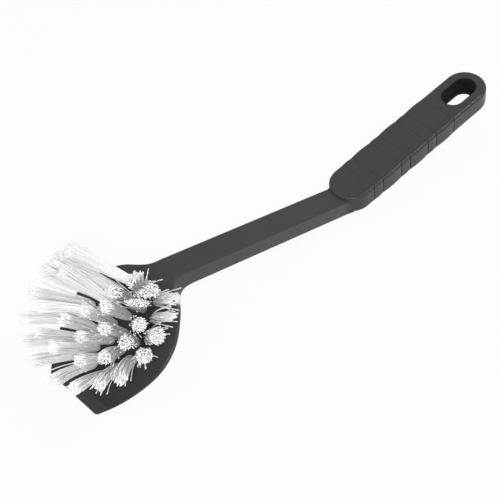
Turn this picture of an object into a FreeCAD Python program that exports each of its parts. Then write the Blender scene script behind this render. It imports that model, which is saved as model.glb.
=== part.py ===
import FreeCAD, Part
import math
import os

os.makedirs("parts", exist_ok=True)

# Bends of the moulding, seen from the side
head_bend_deg = 51.0
grip_bend_deg = 23.4

# Head plate
head_length = 67.7
head_width = 59.8
plate_thickness = 2.4
rim_radius = 0.8
# Stations from the scraper to the neck and half widths there, as shares of head length and half width
outline_shares = (
    (0.00, 0.534),
    (0.09, 0.670),
    (0.21, 0.815),
    (0.34, 0.928),
    (0.50, 1.000),
    (0.61, 0.978),
    (0.71, 0.904),
    (0.79, 0.794),
    (0.85, 0.677),
    (0.895, 0.548),
    (0.935, 0.405),
    (0.98, 0.285),
)

# Scraper lip
lip_thickness = 1.6
lip_bevel_run = 6.0
lip_corner_radius = 2.4

# Dome on the back of the head, which gives the tuft holes their depth
dome_radius = 28.0
dome_flat_radius = 10.0
dome_height = 10.5

# Neck
neck_length = 124.2
neck_width = 13.6
neck_thickness = 9.4
neck_flare_length = 8.5
neck_back_radius = 1.4
crest_radius = 15.0
throat_radius = 12.0
heel_radius = 10.0
collar_radius = 6.0

# Grip
grip_length = 109.6
grip_width = 22.6
grip_thickness = 11.8
grip_top_radius = 1.4
grip_back_radius = 3.0
grip_above_neck = 3.4
nose_overlap = 5.0
nose_length = 16.2
band_length = 6.6
pad_count = 3
# Swell of the pads and depth of the grooves, on the sides and on the flat faces
pad_swell = 0.35
pad_face_swell = 0.1
band_swell_share = 0.5
groove_width = 0.6
groove_depth = 0.3
groove_face_depth = 0.1

# Hanging slot, with the small ledge that the two halves of the mould leave
slot_length = 21.0
slot_width = 11.8
slot_front_wall = 6.2
slot_end_wall = 5.6
slot_rim_radius = 0.7
slot_ledge = 0.4
slot_ledge_height = 3.0

# Tufts, in staggered rows that splay outwards
tuft_row_counts = (3, 4, 5, 6, 5, 4, 3)
tuft_pitch = 7.65
tuft_field_center = 36.0
# Lean of the outermost hole of each row, towards the neck and outwards, as shares of the hole's depth
hole_lean_shares = (
    (-0.16, 0.08),
    (-0.15, 0.16),
    (-0.11, 0.20),
    (-0.02, 0.21),
    (0.03, 0.24),
    (0.07, 0.27),
    (0.10, 0.28),
)
# Way of each tuft's tip from its hole, along the head and across it, as shares of the bristle height.
# The tufts stand as they do in the photo, where they have opened unevenly.
tip_lean_shares = (
    ((-0.33, -0.29), (-0.48, -0.17), (-0.47, 0.12)),
    ((-0.24, -0.51), (-0.16, -0.22), (-0.30, 0.07), (-0.58, 0.35)),
    ((-0.20, -0.61), (-0.11, -0.42), (-0.11, -0.10), (-0.09, 0.09), (-0.53, 0.49)),
    ((0.07, -0.56), (0.06, -0.43), (-0.01, -0.24), (0.02, 0.00), (-0.44, 0.48), (-0.34, 0.51)),
    ((0.22, -0.71), (0.17, -0.60), (0.03, -0.15), (0.02, 0.65), (-0.18, 0.71)),
    ((0.35, -0.85), (0.16, -0.45), (0.04, -0.27), (-0.16, 0.81)),
    ((0.36, -0.88), (0.16, -0.47), (-0.13, 0.84)),
)
hole_diameter = 4.2
hole_depth = 7.0
tuft_clearance = 0.2
bristle_height = 26.7
tuft_tip_diameter = 6.2
# Heights above the hole and growth of the tuft there, as shares of its height and of its whole flare
flare_shares = ((0.0, 0.0), (0.35, 0.18), (0.75, 0.62), (1.0, 1.0))

# Anchors that hold the folded tufts
anchor_length = 5.0
anchor_height = 1.8
anchor_thickness = 0.5
fold_height = 0.9

fine = 0.01
across = FreeCAD.Vector(0, 1, 0)
upward = FreeCAD.Vector(0, 0, 1)


def line(start, end):
    return Part.makeLine(start, end)


def arc(points):
    return Part.Arc(*points).toShape()


# Frames: X runs along the piece towards the grip end, Z points to the bristle side
def pitched_frame(origin, rise_deg):
    return FreeCAD.Placement(origin, FreeCAD.Rotation(across, -rise_deg))


def at(frame, along, side=0, out=0):
    return frame.multVec(FreeCAD.Vector(along, side, out))


def heading(frame, along, side, out):
    return frame.Rotation.multVec(FreeCAD.Vector(along, side, out))


def frames(neck_fall_deg):
    head = pitched_frame(FreeCAD.Vector(), head_bend_deg - neck_fall_deg)
    neck = pitched_frame(at(head, head_length), -neck_fall_deg)
    grip = pitched_frame(at(neck, neck_length), grip_bend_deg - neck_fall_deg)
    grip.Base = at(grip, 0, 0, grip_above_neck)
    return head, neck, grip


def crossing(frame_a, out_a, frame_b, out_b):
    start = at(frame_a, 0, 0, out_a)
    along = heading(frame_a, 1, 0, 0)
    normal = heading(frame_b, 0, 0, 1)
    gap = (at(frame_b, 0, 0, out_b) - start).dot(normal)
    return start + along * (gap / along.dot(normal))


# Start, middle and end of the arc that rounds a corner, and its center
def rounded_corner(corner, toward_start, toward_end, radius):
    half_angle = toward_start.getAngle(toward_end) / 2
    run = radius / math.tan(half_angle)
    inward = (toward_start + toward_end).normalize()
    center = corner + inward * (radius / math.sin(half_angle))
    return (corner + toward_start * run, center - inward * radius, corner + toward_end * run), center


def heel_arc(neck, grip):
    corner = crossing(neck, -neck_thickness, grip, -grip_thickness)
    return rounded_corner(corner, heading(grip, 1, 0, 0), heading(neck, -1, 0, 0), heel_radius)


# The brush lies on its back, on the lip of the scraper and on the heel between neck and grip
def lying_frames():
    head, neck, grip = frames(0)
    lip = at(head, 0, 0, -plate_thickness)
    reach = heel_arc(neck, grip)[1] - lip
    fall = math.atan2(reach.z, reach.x) - math.asin(heel_radius / reach.Length)
    return frames(math.degrees(fall))


head, neck, grip = lying_frames()
down_head = heading(head, -1, 0, 0)
along_neck = heading(neck, 1, 0, 0)
crest_points = rounded_corner(at(head, head_length), down_head, along_neck, crest_radius)[0]
heel_points = heel_arc(neck, grip)[0]


def side_view():
    throat = crossing(head, -plate_thickness, neck, -neck_thickness)
    throat_points = rounded_corner(throat, along_neck, down_head, throat_radius)[0]
    lip_back = at(head, 0, 0, -plate_thickness)
    lip_front = at(head, 0, 0, lip_thickness - plate_thickness)
    bevel = at(head, lip_bevel_run)
    tail = at(neck, neck_length + grip_above_neck)
    return Part.Face(Part.Wire([
        line(lip_back, lip_front),
        line(lip_front, bevel),
        line(bevel, crest_points[0]),
        arc(crest_points),
        line(crest_points[2], tail),
        line(tail, heel_points[0]),
        arc(heel_points),
        line(heel_points[2], throat_points[0]),
        arc(throat_points),
        line(throat_points[2], lip_back),
    ]))


def flank(sign):
    points = []
    for along_share, half_share in outline_shares:
        points.append(at(head, along_share * head_length, sign * half_share * head_width / 2))
    flare_end = head.inverse().multVec(at(neck, neck_flare_length)).x
    points.append(at(head, flare_end, sign * neck_width / 2))
    leave = points[1] - points[0]
    curve = Part.BSplineCurve()
    curve.interpolate(Points=points, InitialTangent=leave, FinalTangent=heading(head, leave.Length, 0, 0))
    return curve.toShape(), points[0], points[-1]


def face_view():
    near, near_lip, near_neck = flank(-1)
    far, far_lip, far_neck = flank(1)
    run = heading(head, neck_length, 0, 0)
    return Part.Face(Part.Wire([
        near,
        line(near_neck, near_neck + run),
        line(near_neck + run, far_neck + run),
        line(far_neck + run, far_neck),
        far,
        line(far_lip, near_lip),
    ]))


def lip_corners(body):
    picked = []
    for edge in body.Edges:
        spots = [head.inverse().multVec(vertex.Point) for vertex in edge.Vertexes]
        if max(spot.x for spot in spots) < fine and edge.BoundBox.YLength < fine:
            picked.append(edge)
    return picked


# Edges along both sides of the skin that passes through some points
def skin_edges(body, points):
    skins = [face for face in body.Faces if any(face.isInside(point, fine, True) for point in points)]
    edges = [edge for skin in skins for edge in skin.Edges]
    picked = []
    for edge in edges:
        crosswise = abs(edge.BoundBox.YLength - edge.Length) < fine
        shared = sum(edge.isSame(other) for other in edges)
        if shared == 1 and not crosswise:
            picked.append(edge)
    return picked


# The neck widens in two concave curves that run into the round nose of the grip
def collar():
    nose_radius = grip_width / 2
    turn = nose_radius - nose_overlap
    reach = neck_width / 2 + collar_radius
    swing = nose_radius + collar_radius
    start = turn - math.sqrt(swing ** 2 - reach ** 2)
    sides = []
    for sign in (1, -1):
        center = FreeCAD.Vector(start, sign * reach, 0)
        toward_neck = FreeCAD.Vector(0, -sign, 0)
        toward_nose = (FreeCAD.Vector(turn, 0, 0) - center).normalize()
        middle = (toward_neck + toward_nose).normalize()
        sides.append([center + way * collar_radius for way in (toward_neck, middle, toward_nose)])
    near, far = sides
    outline = [arc(near), line(near[2], far[2]), arc(far), line(far[0], near[0])]
    body = Part.Face(Part.Wire(outline)).extrude(upward * -2 * grip_thickness)
    body.translate(upward * grip_thickness / 2)
    body.Placement = grip.multiply(body.Placement)
    return body


def blade_and_neck():
    depth = head_length + neck_length
    side = side_view()
    side.translate(across * -head_width)
    side = side.extrude(across * (2 * head_width))
    plan = face_view()
    plan.translate(heading(head, 0, 0, -depth))
    plan = plan.extrude(heading(head, 0, 0, 2 * depth))
    body = side.common(plan).fuse(collar().common(side)).removeSplitter()
    body = body.makeFillet(lip_corner_radius, lip_corners(body))
    front = [at(head, tuft_field_center), crest_points[1], at(neck, neck_length / 2)]
    body = body.makeFillet(rim_radius, skin_edges(body, front))
    back = [at(neck, neck_length / 2, 0, -neck_thickness), heel_points[1]]
    return body.makeFillet(neck_back_radius, skin_edges(body, back))


def dome():
    run = dome_radius - dome_flat_radius
    swing = (run ** 2 + dome_height ** 2) / (2 * dome_height)
    half_turn = math.asin(run / swing) / 2
    center = FreeCAD.Vector()
    rim = FreeCAD.Vector(dome_radius, 0, 0)
    crown = FreeCAD.Vector(0, 0, -dome_height)
    flat = crown + FreeCAD.Vector(dome_flat_radius, 0, 0)
    pivot = flat + upward * swing
    middle = pivot + FreeCAD.Vector(math.sin(half_turn), 0, -math.cos(half_turn)) * swing
    outline = [line(center, crown), line(crown, flat), arc((flat, middle, rim)), line(rim, center)]
    body = Part.Face(Part.Wire(outline)).revolve(center, upward, 360)
    seat = FreeCAD.Vector(tuft_field_center, 0, rim_radius - plate_thickness)
    body.Placement = head.multiply(FreeCAD.Placement(seat, FreeCAD.Rotation()))
    return body


# Rounded cross-section of the grip, larger by the swell on the sides and on the faces
def grip_section(station, swell, face_swell):
    half = grip_width / 2 + swell
    middle = -grip_thickness / 2
    blend = math.sqrt(0.5)

    def corner(side, facing, radius):
        out = middle + facing * (grip_thickness / 2 + face_swell - radius)
        spots = []
        for side_turn, out_turn in ((1, 0), (blend, blend), (0, 1)):
            side_spot = side * (half - radius + radius * side_turn)
            spots.append(FreeCAD.Vector(station, side_spot, out + facing * radius * out_turn))
        return spots

    corners = [
        corner(1, 1, grip_top_radius),
        corner(-1, 1, grip_top_radius)[::-1],
        corner(-1, -1, grip_back_radius),
        corner(1, -1, grip_back_radius)[::-1],
    ]
    edges = []
    for index, spots in enumerate(corners):
        following = corners[(index + 1) % len(corners)]
        edges.append(arc(spots))
        edges.append(line(spots[2], following[0]))
    return Part.Wire(edges)


def barrel(start, end, share):
    middle = (start + end) / 2
    swollen = grip_section(middle, pad_swell * share, pad_face_swell * share)
    return Part.makeLoft([grip_section(start, 0, 0), swollen, grip_section(end, 0, 0)], True, False)


# Half-round end of the grip: the nose faces the neck, the loop faces away from it
def round_end(flat, tip, facing):
    half = grip_width / 2
    turn = tip - facing * half
    spots = ((flat, half), (turn, half), (turn, -half), (flat, -half))
    corners = [FreeCAD.Vector(along, side, 0) for along, side in spots]
    outline = [
        line(corners[0], corners[1]),
        arc((corners[1], FreeCAD.Vector(tip, 0, 0), corners[2])),
        line(corners[2], corners[3]),
        line(corners[3], corners[0]),
    ]
    body = Part.Face(Part.Wire(outline)).extrude(upward * -grip_thickness)
    for out, radius in ((0, grip_top_radius), (-grip_thickness, grip_back_radius)):
        body = body.makeFillet(radius, skin_edges(body, [FreeCAD.Vector((flat + turn) / 2, 0, out)]))
    return body


def stadium(length, width, center, out, depth):
    half = width / 2
    reach = length / 2 - half
    spots = ((-reach, half), (reach, half), (reach, -half), (-reach, -half))
    corners = [FreeCAD.Vector(center + along, side, out) for along, side in spots]
    ends = [FreeCAD.Vector(center + along, 0, out) for along in (length / 2, -length / 2)]
    outline = [
        line(corners[0], corners[1]),
        arc((corners[1], ends[0], corners[2])),
        line(corners[2], corners[3]),
        arc((corners[3], ends[1], corners[0])),
    ]
    return Part.Face(Part.Wire(outline)).extrude(upward * -depth)


def hanging_loop(flat, tip):
    center = tip - slot_end_wall - slot_length / 2
    ledge = slot_ledge_height - grip_thickness
    waist_length = slot_length - 2 * slot_ledge
    waist_width = slot_width - 2 * slot_ledge
    body = round_end(flat, tip, 1)
    body = body.cut(stadium(slot_length, slot_width, center, 0, -ledge))
    body = body.cut(stadium(waist_length, waist_width, center, ledge, slot_ledge_height))
    rims = []
    for face in body.Faces:
        level = face.BoundBox.ZLength < fine and len(face.Wires) > 1
        if level and abs(face.BoundBox.ZMin - ledge) > fine:
            rims += face.Wires[1].Edges
    return body.makeFillet(slot_rim_radius, rims)


def grip_body():
    gap = groove_width / 2
    tip = grip_length - nose_overlap
    loop_length = slot_front_wall + slot_length + slot_end_wall
    pad_length = (grip_length - nose_length - loop_length) / pad_count - band_length
    grooves = [nose_length - nose_overlap]
    for pad in range(pad_count):
        grooves.append(grooves[-1] + band_length)
        grooves.append(grooves[-1] + pad_length)
    ends = (grooves[0] - groove_width, grooves[-1] + groove_width)
    core = [grip_section(station, -groove_depth, -groove_face_depth) for station in ends]
    body = Part.makeLoft(core, True, True)
    body = body.fuse(round_end(grooves[0] - gap, -nose_overlap, -1))
    for index, (start, end) in enumerate(zip(grooves, grooves[1:])):
        share = 1 if index % 2 else band_swell_share
        body = body.fuse(barrel(start + gap, end - gap, share))
    body = body.fuse(hanging_loop(grooves[-1] + gap, tip))
    body.Placement = grip
    return body


# Mouth of each tuft's hole on the head, the lean of the hole and the lean of the tip
def tuft_places():
    row_pitch = tuft_pitch * math.sqrt(3) / 2
    middle_row = (len(tuft_row_counts) - 1) / 2
    found = {}
    for row, count in enumerate(tuft_row_counts):
        along = tuft_field_center + (row - middle_row) * row_pitch
        for place in range(count):
            side_share = 2 * place / (count - 1) - 1
            mouth = FreeCAD.Vector(along, side_share * tuft_pitch * (count - 1) / 2, 0)
            name = "tuft_r%d_%d" % (row + 1, place + 1)
            toward_neck, outward = hole_lean_shares[row]
            hole_lean = FreeCAD.Vector(toward_neck, outward * side_share, 0)
            found[name] = mouth, hole_lean, FreeCAD.Vector(*tip_lean_shares[row][place])
    return found


# Frame on the bent center line of a tuft, Z along the tuft. At height zero it is the frame of the hole.
def stem_frame(mouth, hole_lean, tip_lean, height_share):
    bend = tip_lean - hole_lean
    drift = hole_lean * height_share + bend * height_share ** 2
    spot = mouth + (drift + upward * height_share) * bristle_height
    toward = upward + hole_lean + bend * (2 * height_share)
    turn = FreeCAD.Rotation(FreeCAD.Vector(1, 0, 0), across, toward, "ZXY")
    return head.multiply(FreeCAD.Placement(spot, turn))


def tuft_hole(frame):
    hole = Part.makeCylinder(hole_diameter / 2, hole_depth + hole_diameter, upward * -hole_depth)
    hole.Placement = frame
    return hole


def anchor(frame):
    corner = FreeCAD.Vector(-anchor_thickness / 2, -anchor_length / 2, fold_height - hole_depth)
    plate = Part.makeBox(anchor_thickness, anchor_length, anchor_height, corner)
    return plate.transformed(frame.toMatrix())


def tuft(mouth, hole_lean, tip_lean):
    root = hole_diameter / 2 - tuft_clearance
    flare = tuft_tip_diameter / 2 - root
    rings = []
    for height_share, growth_share in flare_shares:
        ring = Part.Wire(Part.makeCircle(root + growth_share * flare))
        ring.Placement = stem_frame(mouth, hole_lean, tip_lean, height_share)
        rings.append(ring)
    stub = Part.makeCylinder(root, hole_depth, upward * -hole_depth)
    stub.Placement = stem_frame(mouth, hole_lean, tip_lean, 0)
    body = stub.fuse(Part.makeLoft(rings, True, False))
    return body.cut(anchor(stub.Placement))


def build():
    body = blade_and_neck().fuse(dome()).fuse(grip_body())
    pieces = {}
    anchors = []
    holes = []
    for name, place in tuft_places().items():
        frame = stem_frame(*place, 0)
        pieces[name] = tuft(*place)
        holes.append(tuft_hole(frame))
        anchors.append(anchor(frame))
    body = body.cut(holes).cut(anchors)
    pieces["handle"] = body.removeSplitter()
    pieces["anchor_staples"] = Part.makeCompound(anchors)
    return pieces


def set_on_table(pieces):
    box = Part.makeCompound(list(pieces.values())).optimalBoundingBox(False, False)
    shift = FreeCAD.Vector(-box.Center.x, -box.Center.y, -box.ZMin)
    for shape in pieces.values():
        shape.translate(shift)


pieces = build()
set_on_table(pieces)
for name, shape in pieces.items():
    shape.exportStep("parts/%s.step" % name)
    print(name, shape.isValid(), len(shape.Solids), round(shape.Volume, 1))
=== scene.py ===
import math

import bpy
import numpy as np
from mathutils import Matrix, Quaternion, Vector


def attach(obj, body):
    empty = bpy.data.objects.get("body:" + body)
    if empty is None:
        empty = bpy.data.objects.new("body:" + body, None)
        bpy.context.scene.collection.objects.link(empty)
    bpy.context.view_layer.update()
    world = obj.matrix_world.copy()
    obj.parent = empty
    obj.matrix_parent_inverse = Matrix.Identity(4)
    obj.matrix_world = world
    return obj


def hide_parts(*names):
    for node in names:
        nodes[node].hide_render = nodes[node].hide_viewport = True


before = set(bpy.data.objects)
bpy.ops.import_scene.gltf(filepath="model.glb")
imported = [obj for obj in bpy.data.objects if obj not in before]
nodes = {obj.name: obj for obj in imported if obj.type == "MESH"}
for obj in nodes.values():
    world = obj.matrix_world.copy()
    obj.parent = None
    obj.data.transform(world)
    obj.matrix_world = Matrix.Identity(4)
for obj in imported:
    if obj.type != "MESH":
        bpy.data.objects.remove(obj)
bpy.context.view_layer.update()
print("frame loaded,", len(nodes), "nodes")


# small helpers for node trees

def newMaterial(name):
    mat = bpy.data.materials.new(name)
    mat.use_nodes = True
    return mat, mat.node_tree, mat.node_tree.nodes["Principled BSDF"]


def addNode(tree, kind, **sockets):
    node = tree.nodes.new(kind)
    for name, value in sockets.items():
        node.inputs[name].default_value = value
    return node


def addRamp(tree, source, stops):
    ramp = tree.nodes.new("ShaderNodeValToRGB")
    while len(ramp.color_ramp.elements) < len(stops):
        ramp.color_ramp.elements.new(1.0)
    for element, (place, colour) in zip(ramp.color_ramp.elements, stops):
        element.position = place
        element.color = (*colour, 1.0)
    tree.links.new(source, ramp.inputs["Fac"])
    return ramp.outputs["Color"]


def addNoise(tree, coords, size, detail):
    noise = addNode(tree, "ShaderNodeTexNoise", Scale=size, Detail=detail)
    tree.links.new(coords, noise.inputs["Vector"])
    return noise.outputs["Fac"]


def addRange(tree, source, low, high, start=0.0, end=1.0):
    spread = tree.nodes.new("ShaderNodeMapRange")
    spread.inputs["From Min"].default_value = start
    spread.inputs["From Max"].default_value = end
    spread.inputs["To Min"].default_value = low
    spread.inputs["To Max"].default_value = high
    tree.links.new(source, spread.inputs["Value"])
    return spread.outputs["Result"]


def addMath(tree, operation, first, second):
    node = tree.nodes.new("ShaderNodeMath")
    node.operation = operation
    tree.links.new(first, node.inputs[0])
    tree.links.new(second, node.inputs[1])
    return node.outputs[0]


def addVectorMath(tree, operation, source):
    node = tree.nodes.new("ShaderNodeVectorMath")
    node.operation = operation
    tree.links.new(source, node.inputs[0])
    return node


def addBump(tree, height, strength, depth):
    bump = addNode(tree, "ShaderNodeBump", Strength=strength, Distance=depth)
    tree.links.new(height, bump.inputs["Height"])
    return bump


def dressNode(name, mat):
    slots = nodes[name].data.materials
    slots.clear()
    slots.append(mat)


# camera, matched to the photo

view = {
    "aim": (-0.02239, 0.00037, 0.01409),
    "distance": 0.65,
    "azimuthDeg": -44.49,
    "elevationDeg": 46.70,
    "rollDeg": 0.634,
    "fovDeg": 20.78,
}


def addCamera():
    az = math.radians(view["azimuthDeg"])
    el = math.radians(view["elevationDeg"])
    back = Vector((math.sin(az) * math.cos(el), -math.cos(az) * math.cos(el), math.sin(el)))
    lens = bpy.data.cameras.new("camera")
    lens.angle = math.radians(view["fovDeg"])
    cam = bpy.data.objects.new("camera", lens)
    bpy.context.scene.collection.objects.link(cam)
    cam.location = Vector(view["aim"]) + back * view["distance"]
    cam.rotation_mode = "QUATERNION"
    roll = Quaternion((0, 0, 1), math.radians(view["rollDeg"]))
    cam.rotation_quaternion = back.to_track_quat("Z", "Y") @ roll
    bpy.context.scene.camera = cam


addCamera()
print("camera set")


# floor, world and lamps

studio = {
    "floorSide": 8.0,
    "floorColour": (0.72, 0.72, 0.715),
    "floorRough": 0.9,
    "floorGlow": 1.0,
    "shadowShare": 0.08,                     # how much of the floor's own shading shows
    # from straight down to straight up
    "skyStops": (
        (0.0, (0.95, 0.95, 0.945)),
        (0.5, (0.95, 0.95, 0.945)),
        (0.57, (0.62, 0.62, 0.615)),
        (0.70, (0.48, 0.48, 0.48)),
        (1.0, (0.44, 0.44, 0.44)),
    ),
    # name, place, size, watts
    "lamps": (
        ("keyBox", (0.75, -0.48, 1.33), 0.26, 7.0),
        ("leftBox", (-1.40, 0.80, 0.25), 0.5, 4.0),
        ("cameraBox", (-0.87, -0.88, 1.31), 0.5, 18.5),
    ),
}


def addFloor():
    half = studio["floorSide"] / 2
    mesh = bpy.data.meshes.new("floor")
    corners = [(-half, -half, 0), (half, -half, 0), (half, half, 0), (-half, half, 0)]
    mesh.from_pydata(corners, [], [(0, 1, 2, 3)])
    floor = bpy.data.objects.new("floor", mesh)
    bpy.context.scene.collection.objects.link(floor)

    # white to the eye, in mirrors and through glass, with a little of its own shading left
    mat, tree, shader = newMaterial("paleFloor")
    shader.inputs["Base Color"].default_value = (*studio["floorColour"], 1.0)
    shader.inputs["Roughness"].default_value = studio["floorRough"]
    glow = addNode(tree, "ShaderNodeEmission", Strength=studio["floorGlow"])
    rays = tree.nodes.new("ShaderNodeLightPath").outputs
    seen = addMath(tree, "MAXIMUM", rays["Is Camera Ray"], rays["Is Glossy Ray"])
    seen = addMath(tree, "MAXIMUM", seen, rays["Is Transmission Ray"])
    share = addRange(tree, seen, 0.0, 1.0 - studio["shadowShare"])
    mix = tree.nodes.new("ShaderNodeMixShader")
    tree.links.new(share, mix.inputs["Fac"])
    tree.links.new(shader.outputs["BSDF"], mix.inputs[1])
    tree.links.new(glow.outputs["Emission"], mix.inputs[2])
    tree.links.new(mix.outputs["Shader"], tree.nodes["Material Output"].inputs["Surface"])
    mesh.materials.append(mat)


def addWorld():
    world = bpy.data.worlds.new("studio")
    bpy.context.scene.world = world
    world.use_nodes = True
    tree = world.node_tree
    coords = tree.nodes.new("ShaderNodeTexCoord")
    split = tree.nodes.new("ShaderNodeSeparateXYZ")
    tree.links.new(coords.outputs["Generated"], split.inputs["Vector"])
    height = addRange(tree, split.outputs["Z"], 0.0, 1.0, start=-1.0)
    sky = addRamp(tree, height, studio["skyStops"])
    tree.links.new(sky, tree.nodes["Background"].inputs["Color"])


def addLamps():
    for name, place, size, watts in studio["lamps"]:
        lamp = bpy.data.lights.new(name, "AREA")
        lamp.shape = "SQUARE"
        lamp.size = size
        lamp.energy = watts
        holder = bpy.data.objects.new(name, lamp)
        holder.location = place
        holder.rotation_mode = "QUATERNION"
        holder.rotation_quaternion = Vector(place).to_track_quat("Z", "Y")
        bpy.context.scene.collection.objects.link(holder)


addFloor()
addWorld()
addLamps()
bpy.context.scene.view_settings.view_transform = "Standard"
print("studio set")


# handle: dark grey moulded plastic, with painted shade darkening the head and the slot walls, whose finish
# is also rough

handlePlastic = {
    # the head's colour holds painted shade from the tufts, fading into the grip's colour between fadeFrom
    # and fadeTo
    "headPaintedShadeColour": (0.023, 0.0234, 0.0195),
    "gripColour": (0.0475, 0.0485, 0.041),   # neck and grip
    "fadeFrom": -0.130,                      # metres along the brush, both on the head
    "fadeTo": -0.088,
    "cloudShare": 0.12,                      # how much the colour drifts in soft clouds
    "cloudSize": 45,
    "cloudDetail": 3,
    "shine": 0.18,
    "headRough": 0.24,
    "gripRough": 0.28,
    "roughSpread": 0.05,
    "grainSize": 2600,
    "grainDetail": 2,
    "grainBump": 0.06,
    "grainDepth": 0.0001,
    "waveSize": 70,
    "waveDetail": 1,
    "waveBump": 0.03,
    "waveDepth": 0.001,
    "slotAt": (0.1302, 0.0, 0.01874),
    "slotAlong": (0.98999, 0.0, 0.14115),
    "slotHalf": 0.0046,                      # from the middle to the centre of a rounded end
    "slotReach": 0.0061,                     # from there to where the painted shade and rough finish of the slot walls end
    "slotFade": 0.0005,
    "slotPaintedShade": 0.20,                        # share of the colour left on the slot's walls, painted shade
    "slotRough": 0.9,
}


# 0 on the walls of the slot, 1 on the rest of the handle: the mask of the slot's painted shade and rough
# finish
def outsideSlot(tree, coords):
    spec = handlePlastic
    away = addVectorMath(tree, "SUBTRACT", coords)
    away.inputs[1].default_value = spec["slotAt"]
    along = addVectorMath(tree, "DOT_PRODUCT", away.outputs["Vector"])
    along.inputs[1].default_value = spec["slotAlong"]
    held = addNode(tree, "ShaderNodeClamp", Min=-spec["slotHalf"], Max=spec["slotHalf"])
    tree.links.new(along.outputs["Value"], held.inputs["Value"])
    past = addMath(tree, "SUBTRACT", along.outputs["Value"], held.outputs["Result"])
    sides = tree.nodes.new("ShaderNodeSeparateXYZ")
    tree.links.new(away.outputs["Vector"], sides.inputs["Vector"])
    span = tree.nodes.new("ShaderNodeCombineXYZ")
    tree.links.new(past, span.inputs["X"])
    tree.links.new(sides.outputs["Y"], span.inputs["Y"])
    reach = addVectorMath(tree, "LENGTH", span.outputs["Vector"])
    wall = spec["slotReach"]
    return addRange(tree, reach.outputs["Value"], 0.0, 1.0, start=wall, end=wall + spec["slotFade"])


def paintHandle():
    spec = handlePlastic
    mat, tree, shader = newMaterial("satinDarkPlastic")
    coords = tree.nodes.new("ShaderNodeTexCoord").outputs["Object"]
    clouds = addNoise(tree, coords, spec["cloudSize"], spec["cloudDetail"])
    outside = outsideSlot(tree, coords)

    # the head's colour is darkened by painted shade from the tufts over it; neck and grip are paler and a
    # little duller than the head
    split = tree.nodes.new("ShaderNodeSeparateXYZ")
    tree.links.new(coords, split.inputs["Vector"])
    fade = addRange(tree, split.outputs["X"], 0.0, 1.0, start=spec["fadeFrom"], end=spec["fadeTo"])
    colour = addRamp(tree, fade, ((0.0, spec["headPaintedShadeColour"]), (1.0, spec["gripColour"])))
    drift = addRange(tree, clouds, 1 - spec["cloudShare"], 1 + spec["cloudShare"])
    # painted shade: the slot walls keep only slotPaintedShade of the colour
    tone = addMath(tree, "MULTIPLY", drift, addRange(tree, outside, spec["slotPaintedShade"], 1.0))
    cloudy = addVectorMath(tree, "SCALE", colour)
    tree.links.new(tone, cloudy.inputs["Scale"])
    tree.links.new(cloudy.outputs["Vector"], shader.inputs["Base Color"])

    spread = addRange(tree, clouds, -spec["roughSpread"], spec["roughSpread"])
    total = addMath(tree, "ADD", addRange(tree, fade, spec["headRough"], spec["gripRough"]), spread)
    rough = tree.nodes.new("ShaderNodeMapRange")
    rough.inputs["To Min"].default_value = spec["slotRough"]
    tree.links.new(outside, rough.inputs["Value"])
    tree.links.new(total, rough.inputs["To Max"])
    tree.links.new(rough.outputs["Result"], shader.inputs["Roughness"])

    # fine grain of the mould over very shallow waves
    swell = addNoise(tree, coords, spec["waveSize"], spec["waveDetail"])
    waves = addBump(tree, swell, spec["waveBump"], spec["waveDepth"])
    specks = addNoise(tree, coords, spec["grainSize"], spec["grainDetail"])
    grain = addBump(tree, specks, spec["grainBump"], spec["grainDepth"])
    tree.links.new(waves.outputs["Normal"], grain.inputs["Normal"])
    tree.links.new(grain.outputs["Normal"], shader.inputs["Normal"])

    shader.inputs["Specular IOR Level"].default_value = spec["shine"]
    dressNode("handle", mat)


# anchors: flat rolled wire, hidden in the holes

anchorWire = {
    "colourStops": ((0.3, (0.50, 0.49, 0.46)), (0.7, (0.62, 0.61, 0.58))),
    "streakSize": 900,
    "streakDetail": 2,
    "rough": 0.35,
    "bump": 0.1,
    "bumpDepth": 0.0001,
}


def paintAnchors():
    spec = anchorWire
    mat, tree, shader = newMaterial("rolledWire")
    coords = tree.nodes.new("ShaderNodeTexCoord").outputs["Object"]
    streaks = addNoise(tree, coords, spec["streakSize"], spec["streakDetail"])
    tree.links.new(addRamp(tree, streaks, spec["colourStops"]), shader.inputs["Base Color"])
    bump = addBump(tree, streaks, spec["bump"], spec["bumpDepth"])
    tree.links.new(bump.outputs["Normal"], shader.inputs["Normal"])
    shader.inputs["Metallic"].default_value = 1.0
    shader.inputs["Roughness"].default_value = spec["rough"]
    dressNode("anchor_staples", mat)


paintHandle()
paintAnchors()
print("handle and anchors painted")


# bristles: every tuft is a bundle of separate nylon filaments

head = {
    "lipAt": (-0.13254, 0.0, 0.00195),       # middle of the scraper edge
    "tiltDeg": 35.71,
}

bristles = {
    "height": 0.0267,
    "rootDepth": 0.0041,                     # the filaments show from above the anchor
    "filaments": 96,
    "thickness": 0.00042,
    "rootRadius": 0.00172,
    "tipRadius": 0.0029,
    "tipScatter": 0.00035,
    "heightScatter": 0.016,
    "wobble": 0.00016,
    "wobbleTurn": 5,                         # radians of the wobble from hole to tip
    "dome": 0.04,                            # how much shorter the outer filaments stand
    "fan": (1, 1, 0),
    "partSpread": 1.35,
    "mouthOpen": 0.2,                        # share of the spread just above the hole
    "mouthRun": 0.05,
    "flare": 1.4,
    "bow": -0.5,                             # -1 bends most at the tip, 0 is straight, above 0 at the hole
    "strays": 3,
    "strayReach": (1.25, 1.9),
    "strayHeight": (0.86, 1.0),
    "sides": 6,
    "stations": (0.0, 0.07, 0.16, 0.28, 0.42, 0.56, 0.70, 0.82, 0.92, 1.0),
    "taperFrom": 0.86,
    "tipThin": 0.9,                          # thickness left at the very end
    "seed": 11,
}

# parted tufts: share of the filaments in the first part, then lean and fan of both parts
partings = {
    "r7_2": (0.55, ((0.17, -0.67), (1.7, 0.95, -58)), ((0.18, -0.27), (1.15, 1.1, 0))),
    "r2_4": (0.65, ((-0.58, 0.35), (1, 1, 0)), ((-0.29, 0.22), (1, 1, 0))),
}

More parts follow.
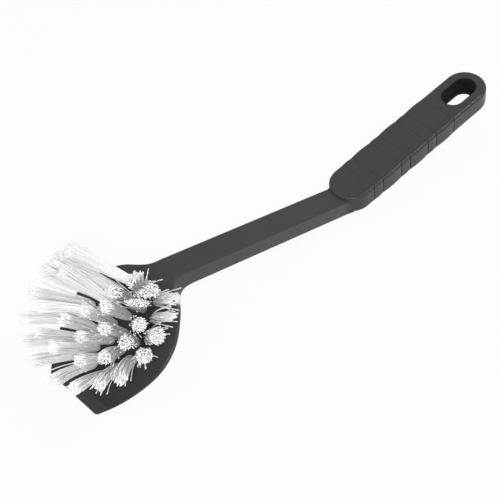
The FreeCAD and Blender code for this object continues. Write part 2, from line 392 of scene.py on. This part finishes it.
# tufts that have opened or closed: reach one way, reach the other way, turn of the first in degrees
fans = {
    "r6_2": (1.7, 0.5, -58), "r6_3": (1.3, 0.9, -58), "r5_2": (1.05, 1.0, 0),
    "r5_1": (1.25, 1.1, 0), "r4_2": (1.2, 1.1, 0), "r4_1": (1.15, 1.1, 0), "r7_1": (0.9, 0.75, 0),
    "r6_1": (0.75, 0.6, 0), "r7_3": (1.4, 1.2, 0), "r6_4": (1.4, 1.2, 0), "r5_5": (1.15, 1.0, 0),
    "r5_4": (1.3, 1.1, 0), "r4_6": (0.9, 0.9, 0),
}

# tufts that show more filaments than the others
crowds = {
    "r7_2": 3.2, "r6_2": 2.2, "r5_2": 1.8, "r5_1": 2.0, "r4_2": 2.2, "r4_1": 2.2, "r6_3": 1.8,
    "r3_2": 1.4, "r4_3": 1.4, "r5_3": 1.4,
    "r7_3": 1.4, "r6_4": 1.4, "r5_5": 1.3, "r5_4": 1.3,
}

# tufts worn to a point: how much shorter their outer filaments stand
domes = {"r6_1": 0.15, "r7_1": 0.15, "r7_2": 0.12, "r6_2": 0.12, "r5_1": 0.1, "r4_1": 0.1, "r4_2": 0.1}

# tufts with ends of uneven length: scatter of their heights
ragged = {"r6_1": 0.09, "r7_1": 0.06, "r3_1": 0.04, "r2_1": 0.04, "r7_2": 0.03, "r5_1": 0.03}

# tufts that go straight or arch over from the hole instead of bending at the tip
bows = {"r7_3": 0.3, "r6_4": 0.25, "r5_5": 0.0, "r5_4": 0.1, "r4_6": 0.0}

# worn tufts with loose ends all round: number of loose ends
spikes = {
    "r7_2": 16, "r6_2": 12, "r5_2": 9, "r5_1": 12, "r4_2": 12, "r4_1": 12, "r7_1": 12, "r6_1": 10,
    "r3_1": 9, "r3_2": 6, "r2_1": 8, "r4_3": 5, "r5_3": 5, "r6_3": 7,
}

tilt = math.radians(head["tiltDeg"])
headAlong = np.array((math.cos(tilt), 0.0, math.sin(tilt)))
headAcross = np.array((0.0, 1.0, 0.0))
headOut = np.array((-math.sin(tilt), 0.0, math.cos(tilt)))
headLip = np.array(head["lipAt"])
goldenTurn = math.pi * (3 - math.sqrt(5))


def unit(vectors):
    return vectors / np.linalg.norm(vectors, axis=-1, keepdims=True)


def onHead(way):
    return np.array((way @ headAlong, way @ headAcross))


tuftSolid = {
    "facingDigits": 3,                       # faces that agree to so many digits form a group
    "tipMatch": 0.99999,                     # cosine to the tip's facing, for faces of the tip
    "footMatch": 0.92,                       # cosine to the back of the head, for faces of the foot
}


# centre of a tuft's tip, which is the largest flat face of its solid, then centre and facing of its foot,
# which alone faces the back of the head
def tipAndFoot(solid):
    spec = tuftSolid
    faces = solid.data.polygons
    normals = np.empty((len(faces), 3), np.float32)
    centers = np.empty_like(normals)
    areas = np.empty(len(faces), np.float32)
    faces.foreach_get("normal", normals.ravel())
    faces.foreach_get("center", centers.ravel())
    faces.foreach_get("area", areas)

    def mean(values, picked):
        return np.average(values[picked], axis=0, weights=areas[picked])

    groups = np.unique(normals.round(spec["facingDigits"]), axis=0, return_inverse=True)[1].ravel()
    largest = groups == np.bincount(groups, weights=areas).argmax()
    tip = normals @ unit(mean(normals, largest)) > spec["tipMatch"]
    foot = normals @ -headOut > spec["footMatch"]
    return mean(centers, tip), mean(centers, foot), mean(normals, foot)


# mouth of each tuft's hole on the head, lean of the hole and lean of the tip, measured on the solids
def tuftPlaces():
    for name in sorted(nodes.keys()):
        if name.startswith("tuft_"):
            tip, foot, footFacing = tipAndFoot(nodes[name])
            axis = footFacing / (footFacing @ headOut)
            mouth = foot - axis * ((foot - headLip) @ headOut)
            tipLean = onHead(tip - mouth) / bristles["height"]
            yield name.removeprefix("tuft_"), onHead(mouth - headLip), onHead(axis), tipLean


def fanOut(place, fan):
    reachA, reachB, fanDeg = fan
    fanTurn = math.radians(fanDeg)
    wide = np.array((math.cos(fanTurn), math.sin(fanTurn)))
    narrow = np.array((-math.sin(fanTurn), math.cos(fanTurn)))
    return (place @ wide)[:, None] * wide * reachA + (place @ narrow)[:, None] * narrow * reachB


def bundle(name, mouth, holeLean, tipLean, rng):
    spec = bristles
    count = round(spec["filaments"] * crowds.get(name, 1))
    tall = spec["height"]

    # heights of the rings, from inside the hole to the tip
    up = np.array((-spec["rootDepth"] / tall, *spec["stations"]))
    free = np.clip(up, 0, 1)
    bow = bows.get(name, spec["bow"])
    bend = free * (1 + bow * (1 - free))
    slope = holeLean + (tipLean - holeLean) * (1 + bow * (1 - 2 * free))[:, None]
    toward = unit(headOut + slope[:, :1] * headAlong + slope[:, 1:] * headAcross)
    sideA = unit(headAlong - toward * (toward @ headAlong)[:, None])
    sideB = np.cross(toward, sideA)

    # each filament has its place in the bundle, and a parted tuft leans two ways
    index = np.arange(count)
    turn = index * goldenTurn + rng.uniform(0, 2 * math.pi)
    disc = np.sqrt((index + 0.5) / count)
    place = disc[:, None] * np.stack((np.cos(turn), np.sin(turn)), axis=1)
    leans = np.tile(tipLean, (count, 1))
    if name in partings:
        share, first, other = partings[name]
        order = np.argsort(place @ np.subtract(other[0], first[0]))
        cut = round(share * count)
        opened = np.empty_like(place)
        for part, (lean, fan) in ((order[:cut], first), (order[cut:], other)):
            leans[part] = lean
            opened[part] = fanOut((place[part] - place[part].mean(axis=0)) * spec["partSpread"], fan)
    else:
        opened = fanOut(place, fans.get(name, spec["fan"]))

    # ends of the filaments, a few of them loose
    root = place * spec["rootRadius"]
    ends = opened * spec["tipRadius"] + rng.normal(0, spec["tipScatter"], (count, 2))
    uneven = ragged.get(name, spec["heightScatter"])
    tallness = 1 + rng.normal(0, uneven, count) - domes.get(name, spec["dome"]) * disc ** 2
    strays = spikes.get(name, spec["strays"])
    loose = rng.choice(index[count // 2:], strays, replace=False)
    stretch = np.maximum(1, spec["tipRadius"] / np.linalg.norm(ends[loose], axis=1, keepdims=True))
    ends[loose] *= stretch * rng.uniform(*spec["strayReach"], (strays, 1))
    tallness[loose] *= rng.uniform(*spec["strayHeight"], strays)

    # way of each filament from its root to its end, with a slight wobble
    opening = spec["mouthOpen"] * (1 - np.exp(-free / spec["mouthRun"]))
    spread = opening + (1 - spec["mouthOpen"]) * free ** spec["flare"]
    offset = root[:, None] + (ends - root)[:, None] * spread[:, None]
    swing = rng.normal(0, spec["wobble"], (count, 2))
    phase = rng.uniform(0, 2 * math.pi, count)
    wave = np.sin(free * spec["wobbleTurn"] + phase[:, None]) * free
    offset += swing[:, None] * wave[..., None]
    drift = holeLean * up[:, None] + (leans[:, None] - holeLean) * bend[:, None]
    grow = np.where(up < 0, 1.0, tallness[:, None])
    flat = mouth + drift * tall * grow[..., None]
    center = headLip + (up * grow)[..., None] * tall * headOut
    center = center + flat[..., :1] * headAlong + flat[..., 1:] * headAcross
    center = center + offset[..., :1] * sideA + offset[..., 1:] * sideB

    # ring of points round each station
    angle = np.arange(spec["sides"]) * 2 * math.pi / spec["sides"]
    ring = np.cos(angle)[:, None, None] * sideA + np.sin(angle)[:, None, None] * sideB
    thin = np.interp(free, (spec["taperFrom"], 1.0), (1.0, spec["tipThin"]))
    ring = ring.transpose(1, 0, 2) * thin[:, None, None] * spec["thickness"] / 2
    return center[:, :, None] + ring[None], np.broadcast_to(free, (count, len(up)))


def tuftMesh(name, points, free, tone):
    count, rings, sides = points.shape[:3]
    faces = []
    for filament in range(count):
        base = filament * rings * sides
        for ring in range(rings - 1):
            low = base + ring * sides
            for side in range(sides):
                after = (side + 1) % sides
                faces.append((low + side, low + after, low + sides + after, low + sides + side))
        top = base + (rings - 1) * sides
        faces.append(tuple(top + side for side in range(sides)))
        faces.append(tuple(base + side for side in reversed(range(sides))))
    mesh = bpy.data.meshes.new(name)
    mesh.from_pydata(points.reshape(-1, 3).tolist(), [], faces)
    smooth = [len(face) == 4 for face in faces]              # the ends stay flat
    mesh.polygons.foreach_set("use_smooth", smooth)
    toneLayer = mesh.attributes.new("tone", "FLOAT", "POINT")
    toneLayer.data.foreach_set("value", np.repeat(tone, rings * sides).astype(np.float32))
    freeLayer = mesh.attributes.new("free", "FLOAT", "POINT")
    freeLayer.data.foreach_set("value", np.repeat(free.reshape(-1), sides).astype(np.float32))
    mesh.update()
    return mesh


nylon = {
    # the ends are painted darker than the shafts: painted shade that evens out the lamps' light along each
    # bundle
    "shaftTones": ((0.0, (0.96, 0.962, 0.952)), (1.0, (0.98, 0.981, 0.975))),
    "tipTonesPaintedShade": ((0.0, (0.89, 0.891, 0.885)), (1.0, (0.93, 0.931, 0.926))),
    "tipFrom": 0.55,
    "rough": 0.38,
    "roughSpread": 0.1,
    "glow": 0.3,
    "glowTint": (1.0, 1.0, 1.0),
    "glowReach": 0.0003,
    "streakSize": 1400,
    "streakDetail": 2,
    "bump": 0.15,
    "bumpDepth": 0.00005,
}


def addLayer(tree, name):
    layer = tree.nodes.new("ShaderNodeAttribute")
    layer.attribute_name = name
    return layer.outputs["Fac"]


def paintNylon():
    spec = nylon
    mat, tree, shader = newMaterial("milkyNylon")
    tone = addLayer(tree, "tone")
    # from tipFrom up, the shaft colour blends into the painted shade of the darker ends
    tipShare = addRange(tree, addLayer(tree, "free"), 0.0, 1.0, start=spec["tipFrom"])
    blend = tree.nodes.new("ShaderNodeMixRGB")
    tree.links.new(tipShare, blend.inputs["Fac"])
    tree.links.new(addRamp(tree, tone, spec["shaftTones"]), blend.inputs["Color1"])
    tree.links.new(addRamp(tree, tone, spec["tipTonesPaintedShade"]), blend.inputs["Color2"])
    tree.links.new(blend.outputs["Color"], shader.inputs["Base Color"])
    coords = tree.nodes.new("ShaderNodeTexCoord").outputs["Object"]
    streaks = addNoise(tree, coords, spec["streakSize"], spec["streakDetail"])
    rough = addRange(tree, streaks, spec["rough"] - spec["roughSpread"], spec["rough"] + spec["roughSpread"])
    tree.links.new(rough, shader.inputs["Roughness"])
    bump = addBump(tree, streaks, spec["bump"], spec["bumpDepth"])
    tree.links.new(bump.outputs["Normal"], shader.inputs["Normal"])
    shader.inputs["Subsurface Weight"].default_value = spec["glow"]
    shader.inputs["Subsurface Radius"].default_value = spec["glowTint"]
    shader.inputs["Subsurface Scale"].default_value = spec["glowReach"]
    return mat


def addTufts():
    mat = paintNylon()
    rng = np.random.default_rng(bristles["seed"])
    for name, mouth, holeLean, tipLean in tuftPlaces():
        points, free = bundle(name, mouth, holeLean, tipLean, rng)
        tone = rng.uniform(0, 1, len(points))
        mesh = tuftMesh("bristles_" + name, points, free, tone)
        mesh.materials.append(mat)
        piece = bpy.data.objects.new("bristles_" + name, mesh)
        bpy.context.scene.collection.objects.link(piece)
        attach(piece, "root")
        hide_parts("tuft_" + name)


addTufts()
print("tufts made")
